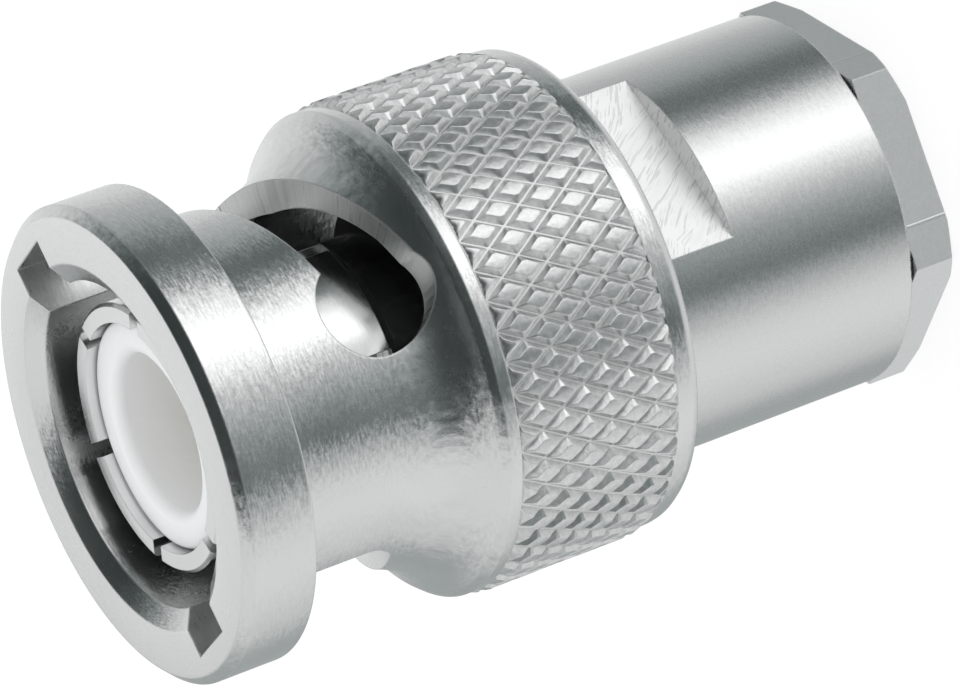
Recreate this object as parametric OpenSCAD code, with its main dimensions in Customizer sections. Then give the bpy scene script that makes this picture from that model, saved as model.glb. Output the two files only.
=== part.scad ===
// Straight bayonet coupling plug for coaxial cable, 50 ohm size, with a clamped cable entry.
// The axis is Z. The clamp nut's rear face is z = 0 and the mating face is at the top.
// Depths are measured along the axis from the mating face towards the cable.
// Walls, steps and gaps are measured on the radius.

/* [Coupling nut] */
// Bore that slides over the mating barrel
bayonet_bore_d = 9.8; // [9.6:0.05:12]
// Mating face to the end of the rear rim
nut_len = 15.0; // [14.6:0.1:18.5]
// Wall of the front flange
flange_wall = 2.28; // [1.8:0.02:2.8]
// Thickness of the front flange
flange_len = 2.26; // [1.5:0.02:2.8]
// Chamfer around the flange's front edge
flange_edge = 0.28; // [0.1:0.02:0.5]
// Width of the chamfer at the mouth of the bore
lead_in = 0.6; // [0.2:0.05:0.8]
// Wall of the slim barrel behind the flange
barrel_wall = 0.82; // [0.7:0.02:1]
// Radius of the hollow flare that rises to the shoulder
flare_r = 3.2; // [2.4:0.1:4]
// Depth of the shoulder edge
shoulder_depth = 8.3; // [8:0.05:8.6]
// Depth where the mating bore ends and the front cavity begins to open
bore_end = 6.6; // [6.2:0.05:6.8]
// Step from the mating bore out to the front cavity
cavity_step = 0.75; // [0.6:0.05:0.8]
// Height of the knurl's points over the plain band in front of them
band_drop = 0.12; // [0.05:0.01:0.3]
// Height of the plain band over the shoulder edge
shoulder_drop = 0.18; // [0.1:0.01:0.3]
// Height of the knurl's points over the rear rim
rim_drop = 0.15; // [0.05:0.01:0.3]
// Length of the rear rim
rim_len = 0.85; // [0.6:0.05:1]
// Radius on the rear rim's outer edge
rim_round = 0.42; // [0.2:0.02:0.6]

/* [Knurl] */
// Height of the points
knurl_h = 0.42; // [0.2:0.02:0.5]
// Points around the nut
knurl_count = 50; // [30:1:72]
// Rows of points along the axis, counted at half a point apart
knurl_rows = 7; // [4:1:7]
// Distance between rows
knurl_row_pitch = 0.75; // [0.6:0.05:0.75]
// Width of a point's flat top as a share of the point
knurl_flat = 0.3; // [0.1:0.05:0.6]

/* [Bayonet slots] */
// Width of the straight entry slots
entry_w = 2.2; // [2:0.05:2.4]
// Depth of the entry slots into the wall of the mating bore
entry_cut = 1.35; // [1.1:0.05:1.5]
// Width of the rising slots, along the axis
ramp_w = 2.24; // [2:0.02:2.4]
// Depth of the rising slots' centre line where they leave the entries
ramp_start = 4.97; // [4.6:0.05:5.3]
// Distance that the slots rise over their whole turn
ramp_rise = 1.9; // [1.2:0.05:2.1]
// Turn of the nut from entry to lock, in degrees
ramp_turn = 89; // [75:1:90]
// Diameter of the round locking seats
seat_d = 3.2; // [2.6:0.05:3.4]
// Depth of the locking seats' centres
seat_depth = 6.42; // [6:0.02:6.6]

/* [Spring stack] */
// Travel of the coupling nut against its wave washers
pull_travel = 0.6; // [0.4:0.02:0.8]
// Thickness of the flange that the nut pulls against
stop_flange_len = 1.1; // [0.9:0.05:1.3]
// Step from the front cavity out to that flange
stop_step = 0.35; // [0.3:0.05:0.5]
// Thickness of the wave washers' strip
wave_t = 0.22; // [0.18:0.02:0.26]
// Travel that the wave washers have left when the nut is pulled right forward
wave_reserve = 0.14; // [0.1:0.02:0.3]
// Waves around each washer
wave_count = 3; // [3:1:4]
// Thickness of the thrust washer
thrust_t = 0.42; // [0.3:0.02:0.5]
// Thickness of the split retaining ring
ring_t = 0.6; // [0.5:0.05:0.7]
// Gap in the split retaining ring, in degrees
ring_split = 24; // [10:1:40]
// Depth of the groove for the retaining ring
groove_h = 0.38; // [0.3:0.02:0.42]
// Wall from the groove out to the knurl's points
nut_wall = 1.07; // [1:0.01:1.5]
// Distance from the retaining ring back to the nut's rear face
ring_inset = 0.8; // [0.6:0.05:1]

/* [Outer contact] */
// Bore of the slotted sleeve
sleeve_bore_d = 6.94; // [6.6:0.02:8.4]
// Wall of the slotted sleeve
sleeve_wall = 0.58; // [0.5:0.02:0.7]
// Depth of the sleeve's tips
sleeve_tip = 0.88; // [0.5:0.02:1.5]
// Depth of the sleeve's rear edge
sleeve_end = 7.15; // [6.8:0.05:7.6]
// Number of slots in the sleeve
sleeve_slots = 6; // [4:1:8]
// Width of a slot
sleeve_slot_w = 0.45; // [0.3:0.05:0.6]
// Wall of the neck behind the sleeve
neck_wall = 0.69; // [0.6:0.01:0.8]
// Length of the spigot pressed into the body
spigot_len = 2.4; // [2:0.1:2.6]

/* [Insulators and pin] */
// Depth of the front insulator's rim
cup_rim = 1.2; // [1:0.05:1.6]
// Bore of the insulator's cup
cup_bore_d = 4.8; // [4:0.05:5.2]
// Radius on the inner edge of the cup's rim
cup_round = 0.35; // [0.2:0.05:0.45]
// Depth of the cup's floor
cup_floor = 6.4; // [5.8:0.1:6.6]
// Outside of the insulator's rear stem
stem_d = 5.8; // [5.4:0.05:6.2]
// Diameter of the pin
pin_d = 1.37; // [1.3:0.01:1.7]
// Depth of the pin's tip
pin_tip = 2.9; // [2.8:0.05:3.6]
// Diameter of the pin's solder cup
solder_cup_d = 2.2; // [2:0.05:2.4]
// Bore of the solder cup
wire_bore_d = 1.1; // [0.9:0.05:1.2]
// Length of the solder cup
solder_cup_len = 4.2; // [3.5:0.1:4.4]
// Thickness of the rear insulator
rear_insulator_len = 2.0; // [1.5:0.1:2.1]

/* [Body] */
// Step from the stop flange in to the body's barrel
body_drop = 0.25; // [0.2:0.05:0.4]
// Step from the body's barrel in to its neck inside the coupling nut
body_neck_step = 0.85; // [0.8:0.05:0.95]
// Distance that the body's barrel reaches into the coupling nut
body_inset = 0.5; // [0.3:0.05:0.55]
// Length of the body behind the coupling nut
body_tail_len = 8.46; // [8:0.02:12]
// Bore through the middle of the body
body_bore_d = 7.2; // [7:0.05:7.6]
// Depth of each wrench flat
flat_h = 0.87; // [0.7:0.01:0.9]
// Length of the wrench flats behind the coupling nut
flats_len = 2.76; // [2:0.02:3]
// Wall around the rear thread
thread_wall = 0.9; // [0.8:0.05:1]
// Distance from the nut's rear rim to the rear thread
thread_inset = 3.4; // [3.3:0.05:3.8]

/* [Cable clamp] */
// Height of the clamp nut's corners over the body
hex_proud = 0.11; // [0:0.01:0.3]
// Thickness of the hexagon
hex_len = 1.54; // [1.2:0.02:2.5]
// Width of the chamfer on the hexagon's corners
hex_edge = 0.46; // [0.3:0.02:0.6]
// Bore for the cable's jacket
cable_bore_d = 6.2; // [5:0.1:7]
// Length of the clamp nut's threaded shank
shank_len = 1.8; // [1.6:0.05:2.2]
// Thickness of the slip washer
slip_washer_t = 0.4; // [0.3:0.05:0.5]
// Thickness of the cable gasket
cable_gasket_len = 1.3; // [1.1:0.05:1.4]
// Bore of the cable gasket
cable_gasket_bore_d = 5.2; // [4.8:0.1:5.6]
// Bore of the braid clamp
braid_bore_d = 4.0; // [3.6:0.1:4.4]
// Length of the braid clamp's tapered nose
braid_nose_len = 1.2; // [0.8:0.1:1.4]

/* [Clocking] */
// Angle of the first slot in the outer contact, from an entry slot
slot_angle = 13.5; // [0:0.5:60]
// Angle of the first wrench flat
flat_angle = 105; // [0:1:180]
// Angle of the clamp nut's first corner
hex_angle = 44.5; // [0:0.5:60]

/* [Hidden] */
$fn = 96;

// Clearances
running_gap = 0.05;    // between turning pieces, on the radius
face_gap = 0.04;       // between faces that turn on each other
press_gap = 0.01;      // between pieces pressed together
seat_gap = 0.02;       // between pieces that rest on one another
cut = 0.5;             // how far a cutter runs past what it cuts
slot_reach = 1;        // how far the slot cutters start inside the mating bore
slot_run_out = 0.05;   // how far the sleeve's slots run past its cylinder
sleeve_floor = 0.15;   // from the sleeve's inner step to its rear edge
knurl_core = 0.2;      // depth of the nut's core under the knurl's roots
lead_in_angle = 31;    // slope of the lead-in, from the mating face
solder_cup_inset = 1;  // the solder cup starts this far inside the spigot

// Radii of the coupling nut, from the mating bore outwards
bore_r = bayonet_bore_d / 2;
barrel_r = bore_r + barrel_wall;
flange_r = bore_r + flange_wall;
entry_r = bore_r + entry_cut;
cavity_r = bore_r + cavity_step;
stop_flange_r = cavity_r + stop_step;
rear_cavity_r = stop_flange_r + running_gap;
groove_r = rear_cavity_r + groove_h;
knurl_r = groove_r + nut_wall;
band_r = knurl_r - band_drop;
shoulder_r = band_r - shoulder_drop;
rim_r = knurl_r - rim_drop;
knurl_root_r = knurl_r - knurl_h;
knurl_core_r = knurl_root_r - knurl_core;

// The flare is an arc that leaves the barrel smoothly and meets the shoulder edge
flare_rise = shoulder_r - barrel_r;
flare_start = shoulder_depth - sqrt(flare_r^2 - (flare_r - flare_rise)^2);

// Knurl
knurl_len = knurl_rows * knurl_row_pitch;
knurl_rear = nut_len - rim_len;
knurl_front = knurl_rear - knurl_len;
knurl_bury = 0.06;     // the plain bands reach this far over the knurl's ends
knurl_tail = 0.3;      // the knurl ring reaches this far under the plain bands

// Radii of the body and what it holds
body_r = stop_flange_r - body_drop;
neck_r = body_r - body_neck_step;
body_bore_r = body_bore_d / 2;
spigot_r = (body_bore_r + neck_r) / 2;
thread_r = body_r - thread_wall;
clamp_r = thread_r - 2 * running_gap;
sleeve_bore_r = sleeve_bore_d / 2;
sleeve_r = sleeve_bore_r + sleeve_wall;
stem_r = stem_d / 2;
stem_bore_r = stem_r + press_gap;
contact_neck_r = stem_bore_r + neck_wall;
washer_bore_r = neck_r + 2 * running_gap;
hex_corner_r = body_r + hex_proud;

// The stack that the nut pulls against, from the retaining ring forward to the stop flange
ring_front = nut_len - ring_inset - ring_t;
thrust_front = ring_front - face_gap - thrust_t;
wave_h = (pull_travel + wave_reserve) / 2;
wave_stack = 2 * (wave_t + wave_h) + 3 * seat_gap;
stop_rear = thrust_front - wave_stack;
stop_front = stop_rear - stop_flange_len;

// Depths of the body and what it holds
body_step = nut_len - body_inset;
body_end = nut_len + body_tail_len;
total_len = body_end + hex_len;
flats_end = nut_len + flats_len;
thread_start = nut_len + thread_inset;
thread_taper = 0.9;    // length of the cone between the body's bore and the thread
spigot_rear = stop_rear + spigot_len;
sleeve_step = sleeve_end - sleeve_floor;
stem_rear = spigot_rear - solder_cup_inset;
nose_front = thread_start - braid_nose_len;
shank_front = body_end - shank_len;
slip_front = shank_front - seat_gap - slip_washer_t;
gasket_front = slip_front - seat_gap - cable_gasket_len;

// Height above the rear face of a point at a given depth
function up(depth) = total_len - depth;

// A profile given as [radius, depth] points, turned around the axis
module turned(points) {
    rotate_extrude() polygon([for (p = points) [p[0], up(p[1])]]);
}

// A plain ring between two depths
module ring(outer_r, inner_r, front, rear) {
    turned([[inner_r, front], [outer_r, front], [outer_r, rear], [inner_r, rear]]);
}

// A solid cylinder between two depths
module plug(r, front, rear) {
    translate([0, 0, up(rear)]) cylinder(r = r, h = rear - front);
}

// A hole drilled in from the side at a given depth and angle
module side_hole(r, depth, angle, from_r, to_r) {
    rotate([0, 0, angle]) translate([from_r, 0, up(depth)])
        rotate([0, 90, 0]) cylinder(r = r, h = to_r - from_r);
}

// Rounds the profile's corner at (r, depth). Material lies towards side_r in radius, +1 or -1,
// and towards side_d in depth. Used as a cutter on a profile.
module corner_round(r, depth, round_r, side_r, side_d) {
    size = round_r + cut / 10;
    translate([r, up(depth)]) difference() {
        translate([side_r > 0 ? -cut / 10 : -round_r, side_d > 0 ? -round_r : -cut / 10]) square(size);
        translate([side_r * round_r, -side_d * round_r]) circle(round_r);
    }
}

// ---------------------------------------------------------------- coupling nut

// Outside of the nut, from the mating face to the rear rim
module nut_outside() {
    band_edge = 0.22;
    rotate_extrude() difference() {
        polygon([for (p = [
            [0, 0], [flange_r - flange_edge, 0], [flange_r, flange_edge], [flange_r, flange_len],
            [barrel_r, flange_len], [barrel_r, flare_start], [shoulder_r, flare_start],
            [shoulder_r, shoulder_depth], [band_r, shoulder_depth + band_edge],
            [band_r, knurl_front + knurl_bury], [knurl_core_r, knurl_front + knurl_bury],
            [knurl_core_r, knurl_rear - knurl_bury], [rim_r, knurl_rear - knurl_bury],
            [rim_r, nut_len], [0, nut_len]
        ]) [p[0], up(p[1])]]);
        // the hollow flare, an arc that leaves the barrel smoothly
        intersection() {
            translate([barrel_r + flare_r, up(flare_start)]) circle(flare_r);
            translate([barrel_r, up(shoulder_depth)])
                square([flare_rise, shoulder_depth - flare_start]);
        }
        corner_round(rim_r, nut_len, rim_round, -1, -1);
    }
}

// The stepped bore: lead-in, mating bore, cavity behind the ramps, spring cavity and ring groove
module nut_inside() {
    cavity_slope = 1;
    mouth_edge = 0.2;
    groove_front = ring_front - face_gap / 2;
    groove_rear = ring_front + ring_t + face_gap / 2;
    turned([
        [0, -cut], [bore_r + lead_in + cut, -cut], [bore_r + lead_in, 0],
        [bore_r, lead_in * tan(lead_in_angle)], [bore_r, bore_end], [cavity_r, bore_end + cavity_slope],
        [cavity_r, stop_front - face_gap], [rear_cavity_r, stop_front - face_gap],
        [rear_cavity_r, groove_front], [groove_r, groove_front],
        [groove_r, groove_rear], [rear_cavity_r, groove_rear],
        [rear_cavity_r, nut_len - mouth_edge], [rear_cavity_r + mouth_edge + cut, nut_len + cut],
        [0, nut_len + cut]
    ]);
}

// One rising slot, swept around the axis as a thin helical block
module ramp_cutter() {
    steps = 24;
    inner = bore_r - slot_reach;
    outer = shoulder_r + cut;
    half = ramp_w / 2;
    centre = [for (i = [0:steps]) up(ramp_start + ramp_rise * i / steps)];
    section = [[inner, -half], [outer, -half], [outer, half], [inner, half]];
    points = [for (i = [0:steps]) let (a = -ramp_turn * i / steps)
        for (p = section) [p[0] * cos(a), p[0] * sin(a), centre[i] + p[1]]];
    sides = [for (i = [0:steps - 1], k = [0:3]) let (a = 4 * i + k, b = 4 * i + (k + 1) % 4)
        each [[a, b + 4, b], [a, a + 4, b + 4]]];
    last = 4 * steps;
    polyhedron(points, concat(sides, [[0, 1, 2], [0, 2, 3]],
        [[last, last + 2, last + 1], [last, last + 3, last + 2]]), convexity = 4);
}

// Entry, rising slot and round locking seat of one bayonet track
module bayonet_track() {
    inner = bore_r - slot_reach;
    outer = shoulder_r + cut;
    translate([inner, -entry_w / 2, up(ramp_start)])
        cube([entry_r - inner, entry_w, ramp_start + cut]);
    side_hole(entry_w / 2, ramp_start, 0, inner, outer);
    ramp_cutter();
    side_hole(seat_d / 2, seat_depth, -ramp_turn, inner, outer);
}

// Raised diamond points, as one ring whose inner face lies inside the nut's core.
// Row lines lie a half point apart, and every other line is turned by half a point.
module knurl_ring() {
    n = knurl_count;
    rows = knurl_rows;
    step = 360 / n;
    tip_r = knurl_r;
    end_drop = 0.1;
    inner_r = knurl_core_r - knurl_core;
    function at(r, a, depth) = [r * cos(a), r * sin(a), up(depth)];
    function line_depth(j) = knurl_front + j * knurl_row_pitch;
    function line_angle(i, j) = (i + (j % 2) / 2) * step;
    // corner (i, j) of the net at the root
    corners = [for (j = [0:rows], i = [0:n - 1]) at(knurl_root_r, line_angle(i, j), line_depth(j))];
    function corner(i, j) = j * n + (i + n) % n;
    // four raised points for every whole diamond, which lies between corners i and i + 1 of line j
    half_a = knurl_flat * step / 2;
    half_z = knurl_flat * knurl_row_pitch;
    tops = [for (j = [1:rows - 1], i = [0:n - 1]) let (a = line_angle(i, j) + step / 2, z = line_depth(j))
        each [at(tip_r, a - half_a, z), at(tip_r, a, z + half_z), at(tip_r, a + half_a, z),
              at(tip_r, a, z - half_z)]];
    tops_at = len(corners);
    function top(i, j, k) = tops_at + 4 * ((j - 1) * n + i) + k;
    // one raised point for every half diamond at the two ends
    end_tops = [for (j = [0, rows], i = [0:n - 1]) let (in = j == 0 ? half_z : -half_z)
        at(tip_r - end_drop, line_angle(i, j) + step / 2, line_depth(j) + in)];
    ends_at = tops_at + len(tops);
    function end_top(i, j) = ends_at + (j == 0 ? 0 : n) + i;
    // plain tails that reach under the bands, and the inner face
    tails_at = ends_at + len(end_tops);
    tail_depth = [knurl_front - knurl_tail, knurl_rear + knurl_tail];
    tails = [for (e = [0, 1], r = [knurl_root_r, inner_r], i = [0:n - 1])
        at(r, line_angle(i, e * rows), tail_depth[e])];
    function tail(e, k, i) = tails_at + (2 * e + k) * n + (i + n) % n;
    // corners before and behind the middle of diamond (i, j)
    function fore(i, j) = corner(j % 2 == 0 ? i : i + 1, j - 1);
    function aft(i, j) = corner(j % 2 == 0 ? i : i + 1, j + 1);
    whole = [for (j = [1:rows - 1], i = [0:n - 1]) let (
            l = corner(i, j), r = corner(i + 1, j), f = fore(i, j), b = aft(i, j),
            tl = top(i, j, 0), tb = top(i, j, 1), tr = top(i, j, 2), tf = top(i, j, 3))
        each [[l, f, tf], [l, tf, tl], [f, r, tr], [f, tr, tf], [r, b, tb], [r, tb, tr],
              [b, l, tl], [b, tl, tb], [tl, tf, tr], [tl, tr, tb]]];
    halves_front = [for (i = [0:n - 1]) let (l = corner(i, 0), r = corner(i + 1, 0), b = aft(i, 0),
            t = end_top(i, 0))
        each [[l, r, t], [r, b, t], [b, l, t]]];
    halves_rear = [for (i = [0:n - 1]) let (l = corner(i, rows), r = corner(i + 1, rows),
            f = fore(i, rows), t = end_top(i, rows))
        each [[r, l, t], [l, f, t], [f, r, t]]];
    shell = [for (i = [0:n - 1]) let (
            a = corner(i, 0), b = corner(i + 1, 0), c = corner(i, rows), d = corner(i + 1, rows),
            fo = tail(0, 0, i), fo2 = tail(0, 0, i + 1), fi = tail(0, 1, i), fi2 = tail(0, 1, i + 1),
            ro = tail(1, 0, i), ro2 = tail(1, 0, i + 1), ri = tail(1, 1, i), ri2 = tail(1, 1, i + 1))
        each [[fo, fo2, b], [fo, b, a], [fi, fi2, fo2], [fi, fo2, fo],
              [c, d, ro2], [c, ro2, ro], [ro, ro2, ri2], [ro, ri2, ri],
              [ri, ri2, fi2], [ri, fi2, fi]]];
    polyhedron(concat(corners, tops, end_tops, tails),
        concat(whole, halves_front, halves_rear, shell), convexity = 6);
}

module coupling_nut() {
    color("gainsboro") {
        difference() {
            nut_outside();
            nut_inside();
            bayonet_track();
            rotate([0, 0, 180]) bayonet_track();
        }
        knurl_ring();
    }
}

module retaining_ring() {
    color("darkgray") difference() {
        ring(groove_r - running_gap, washer_bore_r + running_gap, ring_front, ring_front + ring_t);
        // the split, a wedge that opens outwards
        half_w = 2 * groove_r * tan(ring_split / 2);
        rotate([0, 0, 90]) linear_extrude(height = total_len)
            polygon([[0, 0], [2 * groove_r, -half_w], [2 * groove_r, half_w]]);
    }
}

// ---------------------------------------------------------------- spring stack

module thrust_washer() {
    color("silver")
        ring(rear_cavity_r - running_gap, washer_bore_r, thrust_front, thrust_front + thrust_t);
}

// A flat strip bent into waves around the axis, from a given depth
module wave_washer(front, turn) {
    steps = 48;
    outer = rear_cavity_r - 2 * running_gap;
    inner = washer_bore_r;
    middle = front + (wave_t + wave_h) / 2;
    swing = wave_h / 2;
    points = [for (i = [0:steps - 1]) let (a = 360 * i / steps + turn,
            d = middle + swing * cos(wave_count * 360 * i / steps))
        for (p = [[inner, -1], [outer, -1], [outer, 1], [inner, 1]])
            [p[0] * cos(a), p[0] * sin(a), up(d + p[1] * wave_t / 2)]];
    faces = [for (i = [0:steps - 1], k = [0:3]) let (
            a = 4 * i + k, b = 4 * i + (k + 1) % 4, c = 4 * ((i + 1) % steps))
        each [[a, c + (k + 1) % 4, b], [a, c + k, c + (k + 1) % 4]]];
    polyhedron(points, faces, convexity = 4);
}

module wave_washer_front() {
    color("lightgray")
        wave_washer(stop_rear + seat_gap, 0);
}

module wave_washer_rear() {
    color("lightgray")
        wave_washer(thrust_front - seat_gap - wave_h - wave_t, 180 / wave_count);
}

// ---------------------------------------------------------------- fixed contacts and insulators

module outer_contact() {
    tip_edge = 0.1;
    rear_edge = 0.3;
    rear_edge_len = 0.35;
    color("whitesmoke") difference() {
        turned([
            [sleeve_bore_r, sleeve_tip], [sleeve_r - tip_edge, sleeve_tip],
            [sleeve_r, sleeve_tip + tip_edge], [sleeve_r, sleeve_end],
            [sleeve_r - rear_edge, sleeve_end + rear_edge_len],
            [contact_neck_r, sleeve_end + rear_edge_len], [contact_neck_r, stop_front],
            [stop_flange_r, stop_front], [stop_flange_r, stop_rear], [spigot_r, stop_rear],
            [spigot_r, spigot_rear], [stem_bore_r, spigot_rear],
            [stem_bore_r, sleeve_step], [sleeve_bore_r, sleeve_step]
        ]);
        // the slots, which run out at the sleeve's rear edge
        slot_rear = sleeve_end + slot_run_out;
        for (i = [0:sleeve_slots - 1])
            rotate([0, 0, slot_angle + i * 360 / sleeve_slots])
                translate([sleeve_bore_r - tip_edge, -sleeve_slot_w / 2, up(slot_rear)])
                    cube([sleeve_r, sleeve_slot_w, slot_rear]);
    }
}

module front_gasket() {
    inner = contact_neck_r + press_gap;
    outer = bore_r - 2 * running_gap;
    rear = stop_front - press_gap;
    gasket_len = 0.9;
    edge_round = 0.15;
    color("dimgray") rotate_extrude() difference() {
        translate([inner, up(rear)]) square([outer - inner, gasket_len]);
        corner_round(outer, rear - gasket_len, edge_round, -1, 1);
    }
}

module front_insulator() {
    cup_r = cup_bore_d / 2;
    skin_r = sleeve_bore_r - seat_gap;
    skin_round = 0.12;
    pin_bore_r = pin_d / 2 + press_gap;
    step = sleeve_step - seat_gap;
    color("white") rotate_extrude() difference() {
        polygon([for (p = [
            [cup_r, cup_rim], [skin_r, cup_rim], [skin_r, step], [stem_r, step], [stem_r, stem_rear],
            [pin_bore_r, stem_rear], [pin_bore_r, cup_floor], [cup_r, cup_floor]
        ]) [p[0], up(p[1])]]);
        corner_round(cup_r, cup_rim, cup_round, 1, 1);
        corner_round(skin_r, cup_rim, skin_round, -1, 1);
    }
}

module center_contact() {
    pin_r = pin_d / 2;
    cup_front = stem_rear + press_gap;
    cup_rear = cup_front + solder_cup_len;
    tip_len = 0.7;
    tip_r = 0.3;
    wire_bore_floor = 1;   // solid metal in front of the wire bore
    sight_hole_r = 0.3;
    sight_hole_inset = 1;  // from the cup's rear edge
    color("gold") difference() {
        rotate_extrude() difference() {
            polygon([for (p = [
                [0, pin_tip], [tip_r, pin_tip], [pin_r, pin_tip + tip_len], [pin_r, cup_front],
                [solder_cup_d / 2, cup_front], [solder_cup_d / 2, cup_rear], [0, cup_rear]
            ]) [p[0], up(p[1])]]);
            corner_round(tip_r, pin_tip, tip_r / 2, -1, 1);
        }
        plug(wire_bore_d / 2, cup_front + wire_bore_floor, cup_rear + cut);
        side_hole(sight_hole_r, cup_rear - sight_hole_inset, 90, 0, solder_cup_d);
    }
}

module rear_insulator() {
    front = spigot_rear + seat_gap;
    color("white")
        ring(body_bore_r - seat_gap, solder_cup_d / 2 + seat_gap, front, front + rear_insulator_len);
}

// ---------------------------------------------------------------- body

module body() {
    edge = 0.12;
    front = stop_rear + press_gap;
    color("silver") difference() {
        turned([
            [spigot_r + press_gap, front], [neck_r, front],
            [neck_r, body_step], [body_r, body_step], [body_r, body_end - edge],
            [body_r - edge, body_end], [thread_r, body_end], [thread_r, thread_start],
            [body_bore_r, thread_start - thread_taper], [body_bore_r, spigot_rear + press_gap],
            [spigot_r + press_gap, spigot_rear + press_gap]
        ]);
        // the two wrench flats
        for (side = [0, 180])
            rotate([0, 0, flat_angle + side])
                translate([body_r - flat_h, -body_r, up(flats_end)])
                    cube([body_r, 2 * body_r, flats_end - body_step + cut]);
    }
}

// ---------------------------------------------------------------- cable clamp

module braid_clamp() {
    nose_r = body_bore_r - 0.5;    // leaves room for the folded braid
    taper = thread_taper * (clamp_r - nose_r) / (thread_r - body_bore_r);
    front = thread_start + seat_gap;
    rear = gasket_front - seat_gap;
    color("khaki") turned([
        [braid_bore_d / 2, nose_front], [nose_r, nose_front], [nose_r, front - taper / 2],
        [clamp_r, front], [clamp_r, rear], [braid_bore_d / 2, rear]
    ]);
}

module cable_gasket() {
    front = gasket_front;
    rear = front + cable_gasket_len;
    inner = cable_gasket_bore_d / 2;
    middle = (inner + clamp_r) / 2;
    vee = 0.25;
    vee_depth = 0.45;
    color("dimgray") turned([
        [inner, front], [clamp_r, front], [clamp_r, rear],
        [middle + vee, rear], [middle, rear - vee_depth], [middle - vee, rear], [inner, rear]
    ]);
}

module slip_washer() {
    color("silver") ring(clamp_r, cable_bore_d / 2, slip_front, slip_front + slip_washer_t);
}

module clamp_nut() {
    slope = tan(30);
    reach = hex_corner_r + cut;
    face_r = hex_corner_r - hex_edge;
    color("darkgray") difference() {
        union() {
            plug(thread_r - running_gap, shank_front, body_end + cut);
            // the hexagon, with its rear corners chamfered
            intersection() {
                rotate([0, 0, hex_angle]) cylinder(r = hex_corner_r, h = hex_len - face_gap, $fn = 6);
                turned([
                    [0, body_end], [reach, body_end], [reach, total_len - (reach - face_r) * slope],
                    [face_r, total_len], [0, total_len]
                ]);
            }
        }
        plug(cable_bore_d / 2, shank_front - cut, total_len + cut);
    }
}

coupling_nut();
retaining_ring();
thrust_washer();
wave_washer_front();
wave_washer_rear();
outer_contact();
front_gasket();
front_insulator();
center_contact();
rear_insulator();
body();
braid_clamp();
cable_gasket();
slip_washer();
clamp_nut();
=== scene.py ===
"""Finished surfaces of a bayonet cable plug, built around its packed frame."""

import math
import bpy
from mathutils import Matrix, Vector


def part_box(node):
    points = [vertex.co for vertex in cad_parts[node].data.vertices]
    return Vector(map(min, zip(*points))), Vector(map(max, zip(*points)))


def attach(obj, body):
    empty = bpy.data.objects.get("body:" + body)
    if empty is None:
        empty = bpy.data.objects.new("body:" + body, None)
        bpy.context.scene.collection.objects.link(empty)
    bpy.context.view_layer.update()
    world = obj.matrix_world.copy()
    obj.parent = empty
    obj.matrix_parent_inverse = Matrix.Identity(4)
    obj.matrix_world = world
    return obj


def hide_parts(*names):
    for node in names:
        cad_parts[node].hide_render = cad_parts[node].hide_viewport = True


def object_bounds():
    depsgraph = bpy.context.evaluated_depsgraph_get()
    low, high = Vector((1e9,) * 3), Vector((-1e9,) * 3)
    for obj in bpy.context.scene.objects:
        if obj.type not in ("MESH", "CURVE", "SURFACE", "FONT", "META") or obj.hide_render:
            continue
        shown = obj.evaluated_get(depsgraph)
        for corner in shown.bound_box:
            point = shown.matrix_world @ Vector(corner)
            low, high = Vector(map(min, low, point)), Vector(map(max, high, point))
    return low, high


bl_info = {
    "name": "Bayonet Cable Plug",
    "version": (1, 0, 0),
    "blender": (4, 5, 0),
    "location": "3D View > Sidebar > Plug",
    "description": "Builds the finished surfaces of a bayonet cable plug, with its floor, light and camera",
    "category": "Add Mesh",
}

import bmesh
import bpy
from mathutils import Matrix, Vector

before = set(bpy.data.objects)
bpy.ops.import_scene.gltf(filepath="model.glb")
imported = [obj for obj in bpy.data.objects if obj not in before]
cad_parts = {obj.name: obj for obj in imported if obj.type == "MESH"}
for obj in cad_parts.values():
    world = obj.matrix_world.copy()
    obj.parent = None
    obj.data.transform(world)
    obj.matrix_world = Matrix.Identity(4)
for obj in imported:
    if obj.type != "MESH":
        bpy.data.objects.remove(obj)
CAD_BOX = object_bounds()
MM = 0.001
FACE = CAD_BOX[1].z  # height of the mating face, from which depths are measured
SMOOTH = math.radians(32)  # edges duller than this are shaded smooth


# ---------------------------------------------------------------- sizes and colours


def size(name, text, mm):
    """A length property, given in millimetres."""
    return bpy.props.FloatProperty(
        name=name,
        description=text,
        default=mm * MM,
        min=0.0,
        unit="LENGTH",
        subtype="DISTANCE",
        precision=5,
    )


def angle(name, text, degrees):
    """An angle property, given in degrees."""
    return bpy.props.FloatProperty(
        name=name, description=text, default=math.radians(degrees), subtype="ANGLE"
    )


def share(name, text, value, top=1.0):
    """A plain number property from 0 to top."""
    return bpy.props.FloatProperty(
        name=name, description=text, default=value, min=0.0, max=top, subtype="FACTOR"
    )


def count(name, text, value, least):
    """A whole number property."""
    return bpy.props.IntProperty(
        name=name, description=text, default=value, min=least, subtype="UNSIGNED"
    )


def colour(name, text, rgb):
    """A colour property."""
    return bpy.props.FloatVectorProperty(
        name=name, description=text, default=rgb, min=0.0, max=1.0, size=3, subtype="COLOR"
    )


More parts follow.
